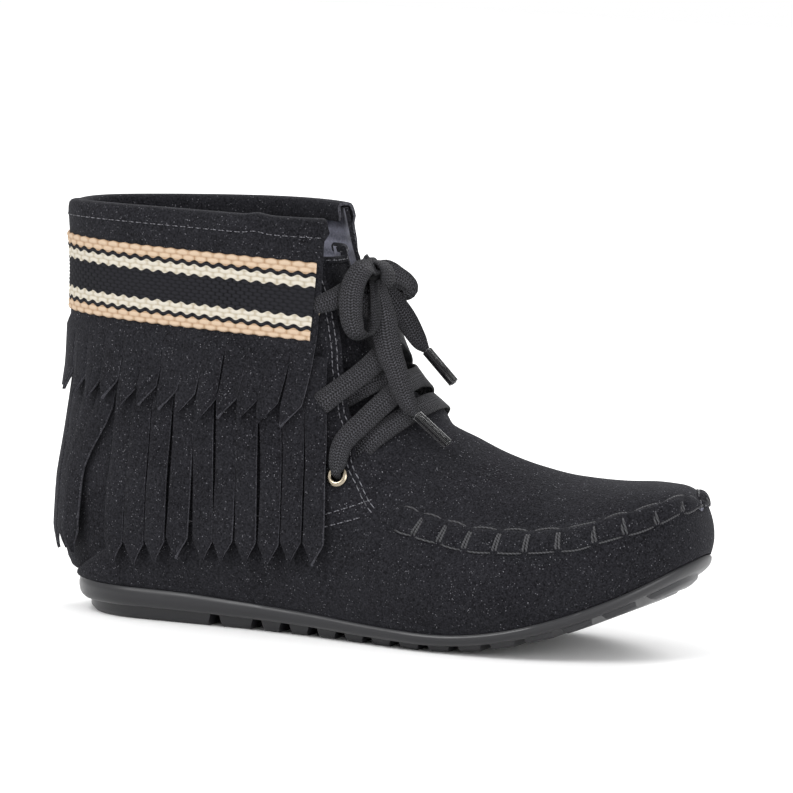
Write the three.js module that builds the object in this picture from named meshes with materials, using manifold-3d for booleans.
// Fringed moccasin ankle boot for the right foot, in millimetres.
// +Z is up, the toe points to +X and the outer side of the foot faces -Y.
// Stations along the foot are measured from the back of the sole, and the finished group is shifted so
// that its origin is the middle of the heel's flat on the floor.
import * as THREE from "three";
import { mergeVertices } from "three/addons/utils/BufferGeometryUtils.js";
import Module from "manifold-3d";

const wasm = await Module();
wasm.setup();

// Sizes of the whole boot
const SOLE_LENGTH = 258;
const BALL_WIDTH = 90;
const COLLAR_HEIGHT = 161;
const INNER_RISE = 4; // collar higher at the front of the inner side
const RISE_END = 0.4; // share of the sole length where it is full
const INSTEP_RISE = 76; // ridge of the vamp above the sole, at the foot of the throat
const TOE_SPRING = 33; // tread of the toe tip above the floor
const HEEL_SEAT = 34; // heel's flat centre from the back of the sole
const CLEARANCE = 0.3; // between pieces that are stitched or glued together

// Sole
const HEEL_STACK = 13.5; // sole thickness under the heel
const HEEL_BAND = 8.2; // side band of the sole at the heel
const TREAD_INSET = 4.6; // tread set in from the band
const TREAD_BEVEL = 2.2;
const BAND_ROUND = 1.3; // how far the band's edges curve in
const HEEL_ROUND = 34; // length of the rounded back end
const TOE_ROUND = 70; // length of the rounded toe end
const TOE_SWING = 4; // toe tip towards the inner side
const FIRST_GROOVE = 69; // groove between the heel block and the waist lugs
const SECOND_GROOVE = 87;
const GROOVE_PITCH = 12.3;
const GROOVE_COUNT = 14;
const GROOVE_TOP = 2.6;
const GROOVE_MOUTH = 5.4;

// Upper, tongue and insole
const WALL = 1.8; // suede with its lining
const EDGE_INSET = 0.8; // foot of the upper in from the edge of the sole
const SWELL = 2.6; // upper wider than the sole
const TOE_PUFF = 2.2; // toe wall forward of the sole
const SEAM_WIDTH = 9; // gathered moccasin seam
const SEAM_HEIGHT = 1.3;
const QUARTER_STEP = 1.0; // quarters lapped over the vamp
const QUARTER_LOW = 40; // height of their lower edge
const QUARTER_CORNER = 52; // height of its front corner
const TONGUE_THICKNESS = 1.6;
const TONGUE_DROP = 13; // tongue top below the collar
const INSOLE_THICKNESS = 3;

// Cuff, webbing and fringes
const CUFF_THICKNESS = 1.3;
const CUFF_FACING = 7.5; // fold of the cuff down inside the collar
const CUFF_LENGTH = 77; // collar to the tips of the cuff's fringe
const CUFF_SLIT = 49; // collar to the top of its slits
const CUFF_PITCH = 8.6;
const WEBBING_WIDTH = 30;
const WEBBING_DROP = 15.6; // collar to the top of the webbing
const WEBBING_THICKNESS = 1.0;
const WEBBING_RISE = 2.6; // higher at the back than at its ends
const FRINGE_THICKNESS = 1.2;
const FRINGE_DROP = 49; // collar to the top of the long fringe
const FRINGE_SLIT = 59; // collar to the top of its slits
const FRINGE_TIPS = 29; // its tips above the floor
const FRINGE_PITCH = 9.7;
const FRINGE_FLARE = 0.4; // strips stand off at their tips
const FRINGE_BACK = 3.5; // front edge back from the throat's edge
const FRINGE_RAKE = 8; // its foot forward of its top
const CUFF_FORWARD = 0.5; // front edge past the collar's
const WEBBING_END = 1; // ends back from the cuff's front edge
const STRIP_GAP = 0.7;
const TIP_LENGTH = 8.5;

// Laces and eyelets
const LACE_WIDTH = 8.6;
const LACE_THICKNESS = 1.2;
const LACE_NESTING = 0.7; // share of it that one lace over another stands out
const EYELET_HOLE = 2.1; // radius
const EYELET_BARREL = 2.7; // radius
const EYELET_RIM = 4.1; // radius
const EYELET_HEIGHT = 0.7;
const EYELET_BACK = 9.5; // eyelet centre back from the throat's edge
const KNOT_SINK = 1.6; // laces under the knot out from the throat's surface
const AGLET_LENGTH = 17;
const AGLET_RADIUS = 1.5;

// Outline of the sole: half widths as shares of the ball width, at shares of the sole length.
const OUTLINE = [
  { at: 0.0, outer: 0.372, inner: 0.356 },
  { at: 0.16, outer: 0.376, inner: 0.356 },
  { at: 0.3, outer: 0.372, inner: 0.322 },
  { at: 0.4, outer: 0.392, inner: 0.326 },
  { at: 0.52, outer: 0.448, inner: 0.402 },
  { at: 0.62, outer: 0.488, inner: 0.478 },
  { at: 0.72, outer: 0.488, inner: 0.512 },
  { at: 0.85, outer: 0.462, inner: 0.492 },
  { at: 1.0, outer: 0.424, inner: 0.448 },
];

// Side view of the sole: thickness as a share of the heel's, and the band as a share of the heel's band.
const PROFILE = [
  { at: 0.0, stack: 1.0, band: 1.0 },
  { at: 0.2, stack: 0.96, band: 0.93 },
  { at: 0.3, stack: 0.86, band: 0.82 },
  { at: 0.42, stack: 0.74, band: 0.7 },
  { at: 0.55, stack: 0.6, band: 0.6 },
  { at: 0.7, stack: 0.53, band: 0.55 },
  { at: 0.9, stack: 0.53, band: 0.55 },
  { at: 1.0, stack: 0.58, band: 0.58 },
];
const SPRING_START = 0.612; // share of the length where the sole leaves the floor

// Sections of the last from the toe tip to the collar. Each lies in a plane across the foot, from a top
// point on the ridge to a base point: on the sole up to the heel, then up the back of the boot.
//   topX, baseX  shares of the sole length
//   rise         top above the sole, as a share of the instep's rise (up to the throat)
//   climb        top from the instep to the collar, as a share (above the throat)
//   back         height of the base point as a share of the collar height (up the back)
//   half         largest half width as a share of the ball width (past the ball; before it the width
//                follows the sole)
//   wide         where along the section it is widest
//   crown, foot  roundness above and below that
//   line         where the moccasin seam, then the throat's edge, lies, as a share of the half width
const LAST = [
  { topX: 0.986, rise: 0.275, baseX: 1.0, wide: 0.7, crown: 2.4, foot: 1.0, line: 0.22 },
  { topX: 0.982, rise: 0.312, baseX: 0.994, wide: 0.7, crown: 2.4, foot: 1.0, line: 0.46 },
  { topX: 0.971, rise: 0.378, baseX: 0.98, wide: 0.7, crown: 2.4, foot: 1.0, line: 0.65 },
  { topX: 0.95, rise: 0.45, baseX: 0.953, wide: 0.7, crown: 2.4, foot: 1.0, line: 0.835 },
  { topX: 0.911, rise: 0.53, baseX: 0.911, wide: 0.7, crown: 2.3, foot: 1.0, line: 0.885 },
  { topX: 0.86, rise: 0.605, baseX: 0.86, wide: 0.7, crown: 1.96, foot: 1.0, line: 0.885 },
  { topX: 0.795, rise: 0.697, baseX: 0.795, wide: 0.7, crown: 1.62, foot: 1.0, line: 0.842 },
  { topX: 0.736, rise: 0.783, baseX: 0.736, wide: 0.71, crown: 1.57, foot: 1.0, line: 0.84 },
  { topX: 0.678, rise: 0.871, baseX: 0.678, wide: 0.72, crown: 1.52, foot: 1.0, line: 0.842 },
  { topX: 0.632, rise: 0.944, baseX: 0.612, wide: 0.72, crown: 1.52, foot: 1.0, line: 0.84 },
  { topX: 0.589, rise: 1.0, baseX: 0.473, wide: 0.72, crown: 1.72, foot: 1.0, line: 0.86 },
  { topX: 0.57, climb: 0.05, baseX: 0.318, half: 0.42,
    wide: 0.72, crown: 2.15, foot: 1.1, line: 0.83 },
  { topX: 0.554, climb: 0.095, baseX: 0.155, half: 0.41,
    wide: 0.75, crown: 2.3, foot: 1.4, line: 0.735 },
  { topX: 0.545, climb: 0.13, baseX: 0.054, half: 0.4,
    wide: 0.67, crown: 2.35, foot: 1.8, line: 0.705 },
  { topX: 0.536, climb: 0.16, baseX: 0.013, half: 0.395,
    wide: 0.64, crown: 2.4, foot: 2.1, line: 0.695 },
  { topX: 0.53, climb: 0.18, baseX: 0.0, back: 0, half: 0.392,
    wide: 0.63, crown: 2.4, foot: 2.2, line: 0.69 },
  { topX: 0.526, climb: 0.195, baseX: -0.016, back: 0.099, half: 0.39,
    wide: 0.62, crown: 2.4, foot: 2.2, line: 0.68 },
  { topX: 0.518, climb: 0.23, baseX: -0.034, back: 0.14, half: 0.384,
    wide: 0.6, crown: 2.4, foot: 2.2, line: 0.67 },
  { topX: 0.507, climb: 0.27, baseX: -0.04, back: 0.2, half: 0.375,
    wide: 0.58, crown: 2.4, foot: 2.2, line: 0.655 },
  { topX: 0.494, climb: 0.335, baseX: -0.04, back: 0.3, half: 0.362,
    wide: 0.56, crown: 2.45, foot: 2.2, line: 0.65 },
  { topX: 0.478, climb: 0.45, baseX: -0.034, back: 0.45, half: 0.344,
    wide: 0.55, crown: 2.5, foot: 2.2, line: 0.63 },
  { topX: 0.454, climb: 0.63, baseX: -0.027, back: 0.64, half: 0.33,
    wide: 0.55, crown: 2.5, foot: 2.25, line: 0.6 },
  { topX: 0.434, climb: 0.82, baseX: -0.024, back: 0.83, half: 0.32,
    wide: 0.55, crown: 2.5, foot: 2.3, line: 0.63 },
  { topX: 0.416, climb: 1.0, baseX: -0.03, back: 1.0, half: 0.314,
    wide: 0.55, crown: 2.5, foot: 2.3, line: 0.6 },
];
const HEEL_ROW = 15; // the row whose base is the back of the sole
const CORNER_ROW = 9.8; // where the moccasin seam meets the quarters
const THROAT_ROW = 11.4; // foot of the throat
const KNOT_ROW = 21.6; // where the bow is tied
const EYELET_ROWS = [11.3, 17.6, 20.9]; // where the eyelets are, from the lowest
const SHAFT_ROW = 18.7; // first row that is all shaft
const COLLAR_ROW = LAST.length - 1;

// Turns degrees to radians.
const rad = THREE.MathUtils.degToRad;
const { lerp, clamp, smoothstep } = THREE.MathUtils;

// A smooth curve through a column of a table that doesn't swing past its rows. Rows are found by the key
// column, or by their index when key is null.
function curve(rows, column, key = "at") {
  const xs = rows.map((r, i) => (key ? r[key] : i));
  const ys = rows.map((r) => r[column]);
  const slopes = xs.slice(1).map((x, i) => (ys[i + 1] - ys[i]) / (x - xs[i]));
  const tangents = xs.map((_, i) => {
    if (i === 0) return slopes[0];
    if (i === xs.length - 1) return slopes[i - 1];
    const [a, b] = [slopes[i - 1], slopes[i]];
    return a * b <= 0 ? 0 : (2 * a * b) / (a + b);
  });
  return (x) => {
    const at = clamp(x, xs[0], xs[xs.length - 1]);
    let i = xs.findIndex((v, k) => k > 0 && at <= v) - 1;
    if (i < 0) i = 0;
    const h = xs[i + 1] - xs[i];
    const s = (at - xs[i]) / h;
    const [s2, s3] = [s * s, s * s * s];
    return (
      (2 * s3 - 3 * s2 + 1) * ys[i] + (s3 - 2 * s2 + s) * h * tangents[i] +
      (3 * s2 - 2 * s3) * ys[i + 1] + (s3 - s2) * h * tangents[i + 1]
    );
  };
}

// Sole in plan and in side view
const outlineOuter = curve(OUTLINE, "outer");
const outlineInner = curve(OUTLINE, "inner");
const stackShare = curve(PROFILE, "stack");
const bandShare = curve(PROFILE, "band");

function endShare(x) {
  if (x < HEEL_ROUND) return superellipse((HEEL_ROUND - x) / HEEL_ROUND, 2.1);
  const toeStart = SOLE_LENGTH - TOE_ROUND;
  return x > toeStart ? superellipse((x - toeStart) / TOE_ROUND, 2.2) : 1;
}

function superellipse(share, power) {
  return Math.max(0, 1 - Math.min(1, share) ** power) ** (1 / power);
}

// The sole's half width at a station, on the outer side (-1) or the inner side (+1).
function soleHalf(x, side) {
  const share = x / SOLE_LENGTH;
  return (side < 0 ? outlineOuter(share) : outlineInner(share)) * BALL_WIDTH * endShare(x);
}

const soleAxis = (x) => TOE_SWING * smoothstep(x / SOLE_LENGTH, 0.6, 1.1);
const springStart = SPRING_START * SOLE_LENGTH;
const soleBottom = (x) => TOE_SPRING * (Math.max(0, x - springStart) / (SOLE_LENGTH - springStart)) ** 2;
const soleTop = (x) => soleBottom(x) + HEEL_STACK * stackShare(x / SOLE_LENGTH);
const bandBottom = (x) => soleTop(x) - HEEL_BAND * bandShare(x / SOLE_LENGTH);

// Stations along the sole, closer together where its ends curve.
function stations() {
  const ends = [0, 18, 36, 54, 72, 90].map(rad);
  const toeStart = SOLE_LENGTH - TOE_ROUND;
  const middle = 8;
  return [
    ...ends.map((a) => HEEL_ROUND * (1 - Math.cos(a))),
    ...Array.from({ length: middle - 1 }, (_, i) => lerp(HEEL_ROUND, toeStart, (i + 1) / middle)),
    ...[0, 16, 32, 46, 58, 68, 78, 90].map(rad).map((a) => toeStart + TOE_ROUND * Math.sin(a)),
  ];
}

// The sole's outline as a loop in plan, set in by a distance: outer side from heel to toe, then back.
function outline(inset) {
  const xs = stations();
  const walk = [
    ...xs.map((x) => [x, soleAxis(x) - soleHalf(x, -1)]),
    ...xs.slice(1, -1).reverse().map((x) => [x, soleAxis(x) + soleHalf(x, 1)]),
  ];
  return walk.map(([x, y], i) => {
    const [ax, ay] = walk[(i + walk.length - 1) % walk.length];
    const [bx, by] = walk[(i + 1) % walk.length];
    const length = Math.hypot(bx - ax, by - ay);
    return [x - (inset * (by - ay)) / length, y + (inset * (bx - ax)) / length];
  });
}

// Meshes and solids

// A closed mesh from vertices and triangles.
function geometryOf(vertices, triangles) {
  const g = new THREE.BufferGeometry();
  g.setAttribute("position", new THREE.Float32BufferAttribute(vertices.flat(), 3));
  g.setIndex(triangles.flat());
  return g;
}

function solidOf(geometry) {
  const bare = geometry.clone();
  bare.deleteAttribute("normal");
  bare.deleteAttribute("uv");
  const merged = mergeVertices(bare, 1e-4);
  return new wasm.Manifold(new wasm.Mesh({
    numProp: 3,
    vertProperties: merged.attributes.position.array,
    triVerts: new Uint32Array(merged.index.array),
  }));
}

function geometryOfSolid(solid) {
  const m = solid.getMesh();
  const vertices = Array.from({ length: m.numVert }, (_, i) =>
    [0, 1, 2].map((k) => m.vertProperties[i * m.numProp + k]));
  return geometryOf(vertices, [Array.from(m.triVerts)]);
}

// Thickens a sheet: outer and inner are matching vertex lists, and each edge that only one triangle uses
// gets a wall between the two.
function thicken(outer, inner, triangles) {
  const n = outer.length;
  const used = new Map();
  for (const [a, b, c] of triangles)
    for (const [p, q] of [[a, b], [b, c], [c, a]]) used.set(`${p},${q}`, [p, q]);
  const walls = [];
  for (const [p, q] of used.values())
    if (!used.has(`${q},${p}`)) walls.push([q, p, p + n], [q, p + n, q + n]);
  const inside = triangles.map(([a, b, c]) => [a + n, c + n, b + n]);
  return geometryOf([...outer, ...inner], [...triangles, ...inside, ...walls]);
}

// Rings of equal length joined into a closed body, with the first and last rings capped across the foot.
function stackRings(rings) {
  const n = rings[0].length;
  const triangles = [];
  for (let r = 0; r + 1 < rings.length; r++)
    for (let i = 0; i < n; i++) {
      const [a, b] = [r * n + i, r * n + ((i + 1) % n)];
      triangles.push([a, a + n, b], [b, a + n, b + n]);
    }
  const cap = (base, flip) => {
    const half = n / 2;
    for (let i = 0; i < half; i++) {
      const quad = [i, i + 1, (n - i - 1) % n, (n - i) % n].map((k) => base + k);
      for (const t of [[0, 1, 2], [0, 2, 3]]) {
        const [a, b, c] = t.map((k) => quad[k]);
        if (a !== b && b !== c && a !== c) triangles.push(flip ? [a, c, b] : [a, b, c]);
      }
    }
  };
  cap(0, false);
  cap((rings.length - 1) * n, true);
  return geometryOf(rings.flat(), triangles);
}

// The upper's own surface
const rimHeight = COLLAR_HEIGHT - CUFF_THICKNESS - 2 * CLEARANCE; // the cuff folds over the rim
const column = Object.fromEntries(
  ["topX", "baseX", "wide", "crown", "foot", "line"].map((name) => [name, curve(LAST, name, null)]),
);
const throatIndex = LAST.findIndex((row) => row.climb !== undefined);
const instepTop = soleTop(LAST[throatIndex - 1].baseX * SOLE_LENGTH) + INSTEP_RISE;
const tops = LAST.map((row) => ({
  z: row.climb === undefined
    ? soleTop(row.topX * SOLE_LENGTH) + row.rise * INSTEP_RISE
    : lerp(instepTop, rimHeight, row.climb),
}));
const topZ = curve(tops, "z", null);
const backs = LAST.slice(HEEL_ROW).map((row) => ({
  z: Math.max(row.back * rimHeight, soleTop(0) + CLEARANCE),
}));
const backZ = curve(backs, "z", null);

// Largest half width of the section at t. Up to the ball it follows the sole's outline, and past it the
// table.
const pastBall = LAST.findIndex((row) => row.half !== undefined) - 1;
const widths = [-1, 1].map((side) =>
  curve(LAST.map((row) => ({ half: row.half === undefined
    ? besideSole(row.baseX * SOLE_LENGTH, side)
    : row.half * BALL_WIDTH })), "half", null));

function besideSole(x, side) {
  return soleHalf(x, side) + SWELL * Math.min(1, endShare(x) * 2);
}

function halfAt(t, side) {
  if (t < pastBall) return besideSole(column.baseX(t) * SOLE_LENGTH, side);
  return widths[side < 0 ? 0 : 1](t);
}

// Base point of the section at t: its station, height and half width.
function baseAt(t, side) {
  const x = column.baseX(t) * SOLE_LENGTH;
  if (t >= HEEL_ROW) return { x, z: backZ(t - HEEL_ROW), half: 0 };
  const edge = Math.max(0, soleHalf(x, side) - EDGE_INSET * Math.min(1, endShare(x) * 2));
  return { x, z: soleTop(x) + CLEARANCE, half: edge };
}

// How much higher the collar is on the inner side at a station.
const innerRise = (x) => INNER_RISE * smoothstep(x / SOLE_LENGTH, 0, RISE_END);

// A point of the upper's outer face. t runs over the rows of LAST and u from the top line (0) to the base
// (-1 on the outer side of the foot, +1 on the inner side).
function bareSkin(t, u) {
  const side = u < 0 ? -1 : 1;
  const base = baseAt(t, side);
  const half = halfAt(t, side);
  const wide = column.wide(t);
  const top = { x: column.topX(t) * SOLE_LENGTH, z: topZ(t) };
  const turn = rad(180 * Math.min(Math.abs(u), 1));
  let along;
  let across;
  if (Math.abs(u) <= 0.5) {
    const p = column.crown(t);
    along = wide * (1 - Math.cos(turn) ** (2 / p));
    across = half * Math.sin(turn) ** (2 / p);
  } else {
    const low = turn - Math.PI / 2;
    along = wide + (1 - wide) * Math.sin(low) ** (2 / 2.2);
    across = base.half + (half - base.half) * Math.max(0, Math.cos(low)) ** (2 / column.foot(t));
  }
  const x = lerp(top.x, base.x, along);
  const fromTip = (SOLE_LENGTH - x) / TOE_ROUND;
  const puff = TOE_PUFF * Math.sin(Math.PI * along) * Math.exp(-6 * Math.max(0, fromTip));
  const rise = u > 0 ? innerRise(x) * smoothstep(t, SHAFT_ROW, COLLAR_ROW) : 0;
  return new THREE.Vector3(x + puff, soleAxis(x) + side * across, lerp(top.z, base.z, along) + rise);
}

function skinNormal(t, u) {
  const [t0, t1] = [Math.max(0, t - 0.04), Math.min(COLLAR_ROW, t + 0.04)];
  const inward = 0.012 * Math.sign(u || 1);
  const v = Math.abs(u) > 0.98 ? u - inward : u;
  const along = bareSkin(t1, v).sub(bareSkin(t0, v));
  const across = bareSkin(t, v + 0.01).sub(bareSkin(t, v - 0.01));
  if (t < 0.02) return new THREE.Vector3(1, 0, 0);
  return across.cross(along).normalize();
}

// Raised parts of the wall: the gathered seam round the toe, then the quarters lapped over the vamp.
const quarterStart = (t) => smoothstep(t, CORNER_ROW - 0.1, CORNER_ROW + 0.1);

// Where the section at t crosses the quarter's lower edge.
function quarterLow(t) {
  const height = lerp(QUARTER_CORNER, QUARTER_LOW, clamp((t - CORNER_ROW) / 1.2, 0, 1));
  const along = (topZ(t) - height) / (topZ(t) - baseAt(t, 1).z);
  const wide = column.wide(t);
  if (along >= 1) return 1;
  if (along > wide) return 0.5 + Math.asin(((along - wide) / (1 - wide)) ** 1.1) / Math.PI;
  return Math.acos((1 - along / wide) ** (column.crown(t) / 2)) / Math.PI;
}

function lineAt(t) {
  const p = column.crown(t);
  return Math.asin(column.line(t) ** (p / 2)) / Math.PI;
}

// Columns of the upper from the top line to the base, as shares, with how far each is raised. The seam and
// the quarter's edges have a column on each side of their steps.
function columnsAt(t) {
  const line = lineAt(t);
  const reach = bareSkin(t, -line - 0.02).distanceTo(bareSkin(t, -line + 0.02)) / 0.04;
  const half = Math.min(SEAM_WIDTH / 2 / reach, line * 0.6);
  const step = Math.min(0.9 / reach, line * 0.15);
  const low = clamp(lerp(0.64, quarterLow(t), quarterStart(t)), line + 0.11, 0.96);
  const q = quarterStart(t);
  const seam = SEAM_HEIGHT * (1 - q);
  const panel = QUARTER_STEP * q;
  const under = quarterLow(t) < 0.96 ? 0 : panel;
  const inThroat = smoothstep(t, THROAT_ROW - 0.5, THROAT_ROW);
  const edge = lerp(line - half - step, line, Math.max(q, inThroat));
  const shaft = smoothstep(t, SHAFT_ROW - 1, SHAFT_ROW);
  const front = [
    { u: 0, up: 0 },
    { u: edge * 0.38, up: 0 },
    { u: edge * 0.74, up: 0 },
    { u: edge, up: 0 },
  ];
  const rest = [
    { u: lerp(line - half, line + step, q), up: Math.max(seam, panel) },
    { u: line + lerp(half, half * 1.2, q), up: Math.max(seam, panel) },
    { u: line + lerp(half + step, half * 1.9 + step, q), up: panel },
    { u: lerp(line + half * 1.5, low, 0.55), up: panel },
    { u: low, up: panel },
    { u: low + 0.015, up: under },
    { u: lerp(low, 1, 0.36), up: under },
    { u: lerp(low, 1, 0.7), up: under },
    { u: 1, up: under },
  ];
  const even = [edge + 0.04, 0.39, 0.49, 0.59, 0.69, 0.78, 0.86, 0.93, 1];
  return [...front, ...rest.map(({ u, up }, k) => ({ u: lerp(u, even[k], shaft), up }))];
}
const EDGE_COLUMN = 3;

function raised(t, side, c) {
  const p = bareSkin(t, side * c.u);
  return p.addScaledVector(skinNormal(t, side * c.u), c.up);
}

const UPPER_ROWS = [
  0, 0.5, 1, 1.5, 2, 2.5, 3, 3.5, 4, 4.5, 5, 5.5, 6, 6.5, 7, 7.5, 8, 8.5, 9, 9.65, 9.95, 10.5,
  11, THROAT_ROW, 11.8, 12.3, 13, 13.5, 14, 14.5, 15, 15.5, 16, 17, 17.8, SHAFT_ROW, 19.5, 20.3, 21, 22, 23,
];

function makeUpper() {
  const outer = [];
  const inner = [];
  const names = new Map();
  const vertex = (t, side, c, name) => {
    if (!names.has(name)) {
      names.set(name, outer.length);
      const p = raised(t, side, c);
      const inset = skinNormal(t, side * c.u).multiplyScalar(-WALL - c.up);
      outer.push(p.toArray());
      inner.push(p.clone().add(inset).toArray());
    }
    return names.get(name);
  };
  const grid = UPPER_ROWS.map((t, r) => {
    const cs = columnsAt(t);
    const last = cs.length - 1;
    const sides = [-1, 1].map((side) => cs.map((c, k) => {
      const shared = k === 0 || t === 0 || (k === last && t >= HEEL_ROW);
      return vertex(t, shared ? 1 : side, c, `${r},${k},${shared ? 0 : side}`);
    }));
    return sides;
  });
  const triangles = [];
  const face = (a, b, c) => {
    if (a !== b && b !== c && a !== c) triangles.push([a, b, c]);
  };
  for (let r = 0; r + 1 < grid.length; r++)
    for (const [s, side] of [-1, 1].entries())
      for (let k = 0; k + 1 < grid[r][s].length; k++) {
        if (UPPER_ROWS[r] >= THROAT_ROW && k < EDGE_COLUMN) continue;
        const [a, b, c, d] = [grid[r][s][k], grid[r][s][k + 1], grid[r + 1][s][k + 1], grid[r + 1][s][k]];
        if (side > 0) {
          face(a, b, c);
          face(a, c, d);
        } else {
          face(a, c, b);
          face(a, d, c);
        }
      }
  return thicken(outer, inner, triangles);
}

// Sole
function makeOutsole() {
  const ring = (inset, height) => outline(inset).map(([x, y]) => [x, y, height(x)]);
  const solid = solidOf(stackRings([
    ring(BAND_ROUND * 0.4, soleTop),
    ring(0, (x) => lerp(soleTop(x), bandBottom(x), 0.22)),
    ring(BAND_ROUND * 0.3, (x) => lerp(soleTop(x), bandBottom(x), 0.66)),
    ring(BAND_ROUND * 1.6, bandBottom),
    ring(TREAD_INSET, bandBottom),
    ring(TREAD_INSET + 0.2, (x) => lerp(bandBottom(x), soleBottom(x), 0.6)),
    ring(TREAD_INSET + TREAD_BEVEL, soleBottom),
  ]));
  return geometryOfSolid(treadGrooves().reduce((body, groove) => body.subtract(groove), solid));
}

const grooveAt = (i) => (i === 0 ? FIRST_GROOVE : SECOND_GROOVE + (i - 1) * GROOVE_PITCH);

// Grooves across the tread, narrow at the band and wide at the floor.
function treadGrooves() {
  return Array.from({ length: GROOVE_COUNT }, (_, i) => {
    const x = grooveAt(i);
    const below = soleBottom(x) - 2;
    const mouth = GROOVE_MOUTH / 2 + 1;
    const tilt = Math.atan2(soleBottom(x + 4) - soleBottom(x - 4), 8);
    const depth = bandBottom(x) - soleBottom(x) - 0.2;
    const shape = new THREE.Shape([
      new THREE.Vector2(-mouth, below - soleBottom(x)),
      new THREE.Vector2(mouth, below - soleBottom(x)),
      new THREE.Vector2(GROOVE_TOP / 2, depth),
      new THREE.Vector2(-GROOVE_TOP / 2, depth),
    ]);
    const wide = BALL_WIDTH * 1.4;
    const bar = new THREE.ExtrudeGeometry(shape, { depth: wide, bevelEnabled: false });
    bar.translate(0, 0, -wide / 2);
    bar.rotateX(Math.PI / 2);
    bar.rotateY(-tilt);
    bar.translate(x, 0, soleBottom(x));
    return solidOf(bar);
  });
}

function makeInsole() {
  const inset = EDGE_INSET + WALL + 2.2;
  const ring = (extra, up) => outline(inset + extra).map(([x, y]) => [x, y, soleTop(x) + CLEARANCE + up]);
  return stackRings([ring(0.8, INSOLE_THICKNESS), ring(0, INSOLE_THICKNESS * 0.7), ring(0, 0)]);
}

// Tongue: under the vamp at the foot of the throat and up behind the laces.
function makeTongue() {
  const top = COLLAR_HEIGHT - TONGUE_DROP;
  const inside = WALL + CLEARANCE;
  const rows = [10.9, 11.3, 11.9, 12.8, 15, 17, 18.4, 19.5, 20.3, 21, 21.6, 22.1];
  const across = [-1, -0.78, -0.5, -0.25, 0, 0.25, 0.5, 0.78, 1];
  const points = [[], []];
  rows.forEach((t) => {
    const climb = smoothstep(t, THROAT_ROW, COLLAR_ROW);
    const sink = inside + lerp(1.0, 5.5, climb);
    const reach = lineAt(t) * 1.16;
    across.forEach((share) => {
      const u = share * reach;
      const p = bareSkin(t, u);
      const n = skinNormal(t, u);
      const end = t === rows[rows.length - 1] ? 2.2 * share * share : 0;
      const at = (depth) => {
        const q = p.clone().addScaledVector(n, -depth);
        return [q.x, q.y, Math.min(q.z, top + 3) - end];
      };
      points[0].push(at(sink));
      points[1].push(at(sink + TONGUE_THICKNESS));
    });
  });
  const n = across.length;
  const triangles = [];
  for (let r = 0; r + 1 < rows.length; r++)
    for (let k = 0; k + 1 < n; k++) {
      const [a, b, c, d] = [r * n + k, r * n + k + 1, (r + 1) * n + k + 1, (r + 1) * n + k];
      triangles.push([a, b, c], [a, c, d]);
    }
  return thicken(points[0], points[1], triangles);
}

// Level lines round the outside of the boot, for what hangs from the collar. Each runs from the back
// centre to the front on one side, with the distance from the back, and may rise with the collar.
const levelLines = new Map();
function levelLine(z, side, rises = false) {
  const key = `${z.toFixed(3)},${side},${rises}`;
  if (levelLines.has(key)) return levelLines.get(key);
  const line = [];
  for (let i = 0; i <= 56; i++) {
    const u = side * lerp(1, 0.14, i / 56);
    let [low, high] = [9, COLLAR_ROW];
    for (let k = 0; k < 26; k++) {
      const middle = (low + high) / 2;
      const q = bareSkin(middle, u);
      if (q.z - (rises && side > 0 ? innerRise(q.x) : 0) < z) low = middle;
      else high = middle;
    }
    const p = bareSkin(high, u);
    const n = skinNormal(high, u).setZ(0).normalize();
    const before = line[line.length - 1];
    line.push({ p, n, along: before ? before.along + Math.hypot(p.x - before.p.x, p.y - before.p.y) : 0 });
  }
  levelLines.set(key, line);
  return line;
}

// How far round from the back centre a level line reaches a station.
function reachTo(x, z, side, rises) {
  const line = levelLine(z, side, rises);
  const i = line.findIndex((k) => k.p.x > x);
  const [a, b] = [line[i - 1], line[i]];
  return lerp(a.along, b.along, (x - a.p.x) / (b.p.x - a.p.x));
}

// A point at a share of the way round from the back centre to a front station (negative on the outer side
// of the foot), at a height, and so far out from the upper. It may rise with the collar.
function hang(share, front, z, out, rises) {
  const side = share < 0 ? -1 : 1;
  const line = levelLine(z, side, rises);
  const along = Math.abs(share) * reachTo(front, z, side, rises);
  const i = Math.max(1, line.findIndex((k) => k.along >= along));
  const [a, b] = [line[i - 1], line[i]];
  const between = (along - a.along) / (b.along - a.along);
  const p = a.p.clone().lerp(b.p, between);
  const n = a.n.clone().lerp(b.n, between).normalize();
  return [p.x + n.x * out, p.y + n.y * out, z + (rises && share > 0 ? innerRise(p.x) : 0)];
}

// Station of the throat's edge at a height.
function throatStation(z) {
  let [low, high] = [THROAT_ROW, COLLAR_ROW];
  for (let k = 0; k < 26; k++) {
    const middle = (low + high) / 2;
    if (bareSkin(middle, -lineAt(middle)).z < z) low = middle;
    else high = middle;
  }
  return bareSkin(high, -lineAt(high)).x;
}

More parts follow.
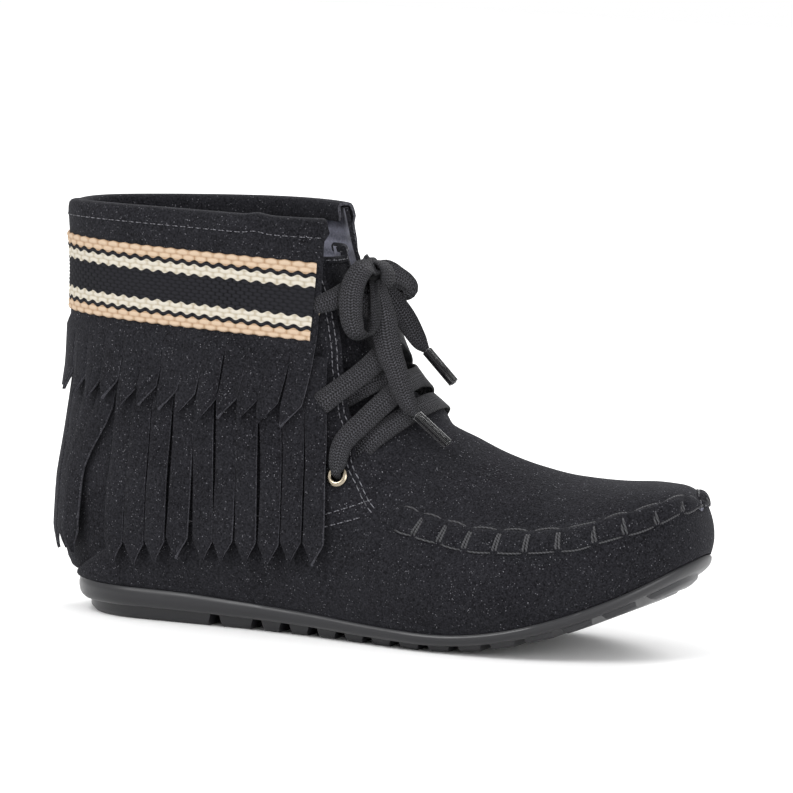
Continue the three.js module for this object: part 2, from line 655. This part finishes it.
// A leather sheet hung round the boot from front to front, slit into strips with pointed tips. Levels run
// from the top down: height, front station and distance out of its two faces.
function fringe(levels, slitLevel, pitch, rises) {
  const half = reachTo(levels[0].front, Math.min(levels[0].z, rimHeight - 1), -1);
  const count = Math.round((2 * half) / pitch);
  const gap = STRIP_GAP / 2 / half;
  const seam = (k) => lerp(-1, 1, k / count);
  const outer = [];
  const inner = [];
  const triangles = [];
  const vertex = (share, level, drop = 0) => {
    outer.push(hang(share, level.front, level.z - drop, level.out, rises));
    inner.push(hang(share, level.front, (level.zIn ?? level.z) - drop, level.in, rises));
    return outer.length - 1;
  };
  const quad = (a, b, c, d) => triangles.push([a, b, c], [a, c, d]);
  const above = levels.slice(0, slitLevel).map((level) =>
    Array.from({ length: count + 1 }, (_, k) => vertex(seam(k), level)));
  for (let r = 0; r + 1 < above.length; r++)
    for (let k = 0; k < count; k++) quad(above[r][k], above[r][k + 1], above[r + 1][k + 1], above[r + 1][k]);
  const bottom = above[above.length - 1];
  let before;
  for (let k = 0; k < count; k++) {
    const left = seam(k) + (k ? gap : 0);
    const right = seam(k + 1) - (k < count - 1 ? gap : 0);
    const uneven = 1.3 * Math.sin(k * 2.3);
    const rows = levels.slice(slitLevel).map((level, i, all) => {
      const drop = i < all.length - 1 ? 0 : uneven;
      return [vertex(left, level, drop), vertex(right, level, drop)];
    });
    quad(bottom[k], bottom[k + 1], rows[0][1], rows[0][0]);
    if (before) triangles.push([bottom[k], rows[0][0], before]);
    before = rows[0][1];
    for (let r = 0; r + 1 < rows.length; r++) quad(rows[r][0], rows[r][1], rows[r + 1][1], rows[r + 1][0]);
    const last = rows[rows.length - 1];
    const tip = vertex((left + right) / 2, levels[levels.length - 1], TIP_LENGTH + uneven);
    triangles.push([last[0], last[1], tip]);
  }
  return thicken(outer, inner, triangles);
}

// Distances out from the upper's smooth face of what lies on it
const eyeletIn = QUARTER_STEP + 2 * CLEARANCE;
const eyeletOut = eyeletIn + EYELET_HEIGHT;
const fringeIn = eyeletOut + CLEARANCE;
const fringeOut = fringeIn + FRINGE_THICKNESS;
const cuffUp = eyeletOut + 2 * CLEARANCE; // above the lower fringe
const cuffDown = fringeOut + 2 * CLEARANCE; // over it

const webbingLevels = [0, 0.5, 1].map((share) => COLLAR_HEIGHT - WEBBING_DROP - share * WEBBING_WIDTH);
const cuffFront = throatStation(rimHeight) + CUFF_FORWARD;

function makeCuff() {
  const facing = -WALL - 5 * CLEARANCE;
  const fold = COLLAR_HEIGHT - CUFF_THICKNESS;
  const slit = COLLAR_HEIGHT - CUFF_SLIT;
  const tips = COLLAR_HEIGHT - CUFF_LENGTH;
  const level = (z, inside, more = {}) =>
    ({ z, in: inside, out: inside + CUFF_THICKNESS, front: cuffFront, ...more });
  return fringe([
    level(COLLAR_HEIGHT - CUFF_FACING, facing, { out: facing - CUFF_THICKNESS }),
    level(fold, facing, { out: facing - CUFF_THICKNESS }),
    level(COLLAR_HEIGHT, facing * 0.6, { zIn: fold, out: facing * 0.8 }),
    level(COLLAR_HEIGHT, QUARTER_STEP, { zIn: fold, out: QUARTER_STEP + 0.6 }),
    level(fold - 0.6, QUARTER_STEP + 2 * CLEARANCE),
    ...webbingLevels.map((z) => level(z, cuffUp)),
    level(slit, cuffDown),
    level(lerp(slit, tips, 0.45), cuffDown),
    level(tips + TIP_LENGTH, cuffDown + 0.3),
  ], 8, CUFF_PITCH, true);
}

function makeLowerFringe() {
  const top = COLLAR_HEIGHT - FRINGE_DROP;
  const slit = COLLAR_HEIGHT - FRINGE_SLIT;
  const front = (z) =>
    throatStation(top) - FRINGE_BACK + FRINGE_RAKE * smoothstep(top - z, 0, top - FRINGE_TIPS);
  const level = (z, more = 0) => ({ z, front: front(z), in: fringeIn + more, out: fringeOut + more });
  return fringe([
    level(top),
    level(slit + 3),
    level(slit),
    level(lerp(slit, FRINGE_TIPS, 0.36)),
    level(lerp(slit, FRINGE_TIPS, 0.66), FRINGE_FLARE * 0.4),
    level(FRINGE_TIPS + TIP_LENGTH, FRINGE_FLARE),
  ], 2, FRINGE_PITCH, false);
}

// Striped webbing round the cuff.
function makeWebbing() {
  const half = reachTo(cuffFront, webbingLevels[0], -1);
  const count = Math.round((2 * reachTo(cuffFront, rimHeight - 1, -1)) / CUFF_PITCH);
  const near = cuffUp + CUFF_THICKNESS + CLEARANCE;
  const outer = [];
  const inner = [];
  const triangles = [];
  webbingLevels.forEach((z, r) => {
    for (let k = 0; k <= count; k++) {
      const end = k === 0 ? 1 : k === count ? -1 : 0;
      const share = lerp(-1, 1, k / count) + end * (WEBBING_END / half);
      const height = z + WEBBING_RISE * (1 - Math.abs(share));
      outer.push(hang(share, cuffFront, height, near + WEBBING_THICKNESS, true));
      inner.push(hang(share, cuffFront, height, near, true));
      if (r === 0 || k === 0) continue;
      const [a, b] = [(r - 1) * (count + 1) + k - 1, r * (count + 1) + k - 1];
      triangles.push([a, a + 1, b + 1], [a, b + 1, b]);
    }
  });
  return thicken(outer, inner, triangles);
}

// Eyelets: a barrel through the quarter with a rim outside. Each stands on the quarter, square to it.
const eyelets = [];
for (const side of [-1, 1])
  EYELET_ROWS.forEach((t, i) => {
    const edge = bareSkin(t, side * lineAt(t));
    let u = lineAt(t);
    while (bareSkin(t, side * u).distanceTo(edge) < EYELET_BACK) u += 0.002;
    const normal = skinNormal(t, side * u);
    eyelets.push({ name: `eyelet_${side < 0 ? "outer" : "inner"}_${i + 1}`, t, side, u, normal,
      at: bareSkin(t, side * u) });
  });

function eyeletBody({ at, normal }, profile, segments) {
  const g = new THREE.LatheGeometry(profile.map(([r, z]) => new THREE.Vector2(r, z)), segments);
  g.applyQuaternion(new THREE.Quaternion().setFromUnitVectors(new THREE.Vector3(0, 1, 0), normal));
  return g.translate(at.x, at.y, at.z);
}

const makeEyelet = (eyelet) => eyeletBody(eyelet, [
  [EYELET_HOLE, -WALL],
  [EYELET_BARREL, -WALL],
  [EYELET_BARREL, eyeletIn],
  [EYELET_RIM, eyeletIn],
  [EYELET_RIM - 0.5, eyeletOut],
  [EYELET_HOLE + 0.3, eyeletOut],
  [EYELET_HOLE, -WALL],
], 12);

function pierce(geometry) {
  const holes = eyelets.map((eyelet) => solidOf(eyeletBody(eyelet, [
    [0, -WALL * 3],
    [EYELET_BARREL + CLEARANCE, -WALL * 3],
    [EYELET_BARREL + CLEARANCE, WALL * 3],
    [0, WALL * 3],
  ], 10)));
  return geometryOfSolid(holes.reduce((body, hole) => body.subtract(hole), solidOf(geometry)));
}

// Laces

// A flat lace along points, lying square to the normal given at each. It may be narrower in places, and
// room is added all round for cutting its way through the knot.
function flatLace(points, normals, widths, room = 0) {
  const half = LACE_THICKNESS / 2 + room;
  const rings = points.map((p, i) => {
    const along = points[Math.min(i + 1, points.length - 1)].clone().sub(points[Math.max(i - 1, 0)]);
    const across = along.clone().cross(normals[i]).normalize();
    const up = across.clone().cross(along).normalize();
    const wide = (widths ? widths[i] : 1) * LACE_WIDTH / 2 + room;
    return [[-wide, -half], [wide, -half], [wide, half], [-wide, half]].map(([a, b]) =>
      p.clone().addScaledVector(across, a).addScaledVector(up, b).toArray());
  });
  return facingOut(stackRings(rings));
}

// Turns a closed body's faces outward.
function facingOut(geometry) {
  const p = geometry.attributes.position;
  const index = geometry.index.array;
  let volume = 0;
  for (let i = 0; i < index.length; i += 3) {
    const [a, b, c] = [0, 1, 2].map((k) => new THREE.Vector3().fromBufferAttribute(p, index[i + k]));
    volume += a.dot(b.cross(c));
  }
  if (volume < 0)
    for (let i = 0; i < index.length; i += 3) [index[i + 1], index[i + 2]] = [index[i + 2], index[i + 1]];
  return geometry;
}

// A crossing over the throat, from one place on the surface to another.
function crossing(from, to, lift, room = 0) {
  const steps = 8;
  const [points, normals] = [[], []];
  for (let i = 0; i <= steps; i++) {
    const share = i / steps;
    const t = lerp(from.t, to.t, share);
    const u = lerp(from.u, to.u, share);
    const n = skinNormal(t, u || 0.001);
    const out = lerp(from.out, to.out, share) + lift * Math.sin(Math.PI * share);
    points.push(bareSkin(t, u).addScaledVector(n, out));
    normals.push(n);
  }
  return solidOf(flatLace(points, normals, null, room));
}

const laceOut = eyeletOut + LACE_THICKNESS / 2 + 2 * CLEARANCE;

// Start of a crossing, at an eyelet's rim or forward of it towards the throat.
function atEyelet(i, side, forward) {
  const t = EYELET_ROWS[i];
  return { t, u: side * lerp(eyelets[i].u, lineAt(t), forward), out: laceOut };
}

// From a top eyelet to the back of the knot.
const toKnot = (side, room = 0) =>
  crossing(atEyelet(2, side, 0.75), { t: KNOT_ROW, u: side * -0.03, out: KNOT_SINK }, 0, room);

function makeLaceBars() {
  const underLace = laceOut - LACE_THICKNESS * LACE_NESTING; // pressed against the lace that lies on it
  const edge = (t, side) => ({ t, u: side * lineAt(t) * 0.8, out: underLace });
  const pieces = [
    crossing(edge(THROAT_ROW + 0.1, -1), edge(THROAT_ROW + 0.1, 1), 0.2),
  ];
  for (const side of [-1, 1]) {
    const [second, third] = EYELET_ROWS.slice(1).map((t) => edge(t, -side));
    pieces.push(crossing(atEyelet(0, side, 0.3), second, side < 0 ? LACE_THICKNESS * LACE_NESTING : 0));
    pieces.push(crossing(atEyelet(1, side, 0.55), third, side < 0 ? LACE_THICKNESS * 0.5 : 0));
    pieces.push(toKnot(side));
  }
  return geometryOfSolid(pieces.reduce((a, b) => a.add(b)));
}

// Knot, loops and ends of the bow, at hand-chosen stations, sides and heights.
const KNOT = { at: [121, -4, 139.2], size: [5.4, 7.6, 5.6] };
const BOW = {
  lace_loop_near: {
    normal: [0.35, -0.93, 0.1],
    points: [[120.6, -9.6, 143], [116.6, -13.4, 144], [116, -18.6, 136.2], [117.6, -22, 127.9],
      [119.7, -23.2, 120.3], [122.9, -22.4, 116.5], [124.9, -18.4, 118.5], [124.8, -16, 124.2]],
    widths: [0.8, 1, 1, 1, 1, 0.9, 0.6, 0.4],
  },
  lace_loop_far: {
    normal: [0.5, -0.86, 0.2],
    points: [[121.4, 1.2, 142], [124, 6, 141], [127.4, 10, 136.4], [129.1, 11, 132.4], [127, 10, 130.6],
      [124.9, 6.6, 132.8]],
  },
  lace_end_near: {
    normal: [0.35, -0.93, 0.05],
    points: [[124, -8.2, 136], [128.6, -12.2, 130.4], [131.7, -14.4, 124.3], [133, -15.4, 116.1],
      [135.4, -18, 106.6], [138.8, -20, 98.5], [142.9, -21, 92.3], [146.3, -21, 88.5]],
    widths: [0.7, 0.85, 0.95, 1, 1, 0.9, 0.8, 0.45],
    aglet: "aglet_near",
    tip: [159.3, -21, 78.7],
  },
  lace_end_far: {
    normal: [0.6, -0.78, 0.2],
    points: [[123.6, -0.6, 136], [126.6, 2.6, 130], [129.8, 4.6, 124.4], [133.3, 6, 116.2],
      [137.8, 7, 110.9]],
    widths: [0.7, 0.85, 0.95, 0.9, 0.45],
    aglet: "aglet_far",
    tip: [150.7, 8, 97.7],
  },
};
const vector = (list) => new THREE.Vector3(...list);

function makeKnot() {
  const g = new THREE.SphereGeometry(1, 12, 8);
  g.rotateX(Math.PI / 2);
  g.scale(...KNOT.size);
  g.rotateY(rad(-25));
  g.translate(...KNOT.at);
  const ways = [
    ...Object.values(BOW).map((piece) => solidOf(makeBowPiece(piece, CLEARANCE))),
    toKnot(-1, CLEARANCE),
    toKnot(1, CLEARANCE),
  ];
  return geometryOfSolid(ways.reduce((body, way) => body.subtract(way), solidOf(g)));
}

function makeBowPiece({ normal, points, widths }, room = 0) {
  const at = points.map(vector);
  at[0].addScaledVector(at[0].clone().sub(at[1]).normalize(), room);
  return flatLace(at, at.map(() => vector(normal)), widths, room);
}

function makeAglet({ points, tip }) {
  const [from, to] = [vector(points[points.length - 1]), vector(tip)];
  const along = to.clone().sub(from).normalize();
  from.addScaledVector(along, CLEARANCE + LACE_THICKNESS / 2);
  const g = new THREE.CylinderGeometry(AGLET_RADIUS, AGLET_RADIUS, AGLET_LENGTH, 8);
  g.applyQuaternion(new THREE.Quaternion().setFromUnitVectors(new THREE.Vector3(0, 1, 0), along));
  const middle = from.addScaledVector(along, AGLET_LENGTH / 2);
  return g.translate(middle.x, middle.y, middle.z);
}

// Materials
const paint = (color, roughness, metalness = 0) =>
  new THREE.MeshStandardMaterial({ color, roughness, metalness, side: THREE.DoubleSide });
const suede = paint("#17171a", 0.95);
const rubber = paint("#2b2c30", 0.55);
const lining = paint("#3a3a44", 0.9);
const webbingCloth = paint("#15161a", 0.85);
const cord = paint("#1e1f22", 0.85);
const plastic = paint("#26272b", 0.3);
const nickel = paint("#cfc6b4", 0.25, 1);

const boot = new THREE.Group();
boot.position.x = -HEEL_SEAT;

function add(name, geometry, material) {
  const mesh = new THREE.Mesh(geometry, material);
  mesh.name = name;
  boot.add(mesh);
  return mesh;
}

add("upper", pierce(makeUpper()), suede);
add("outsole", makeOutsole(), rubber);
add("insole", makeInsole(), lining);
add("tongue", makeTongue(), suede);
add("lower_fringe", makeLowerFringe(), suede);
add("cuff", makeCuff(), suede);
add("webbing", makeWebbing(), webbingCloth);
for (const eyelet of eyelets) add(eyelet.name, makeEyelet(eyelet), nickel);
add("lace_bars", makeLaceBars(), cord);
add("lace_knot", makeKnot(), cord);
for (const [name, piece] of Object.entries(BOW)) {
  add(name, makeBowPiece(piece), cord);
  if (piece.aglet) add(piece.aglet, makeAglet(piece), plastic);
}

export default boot;
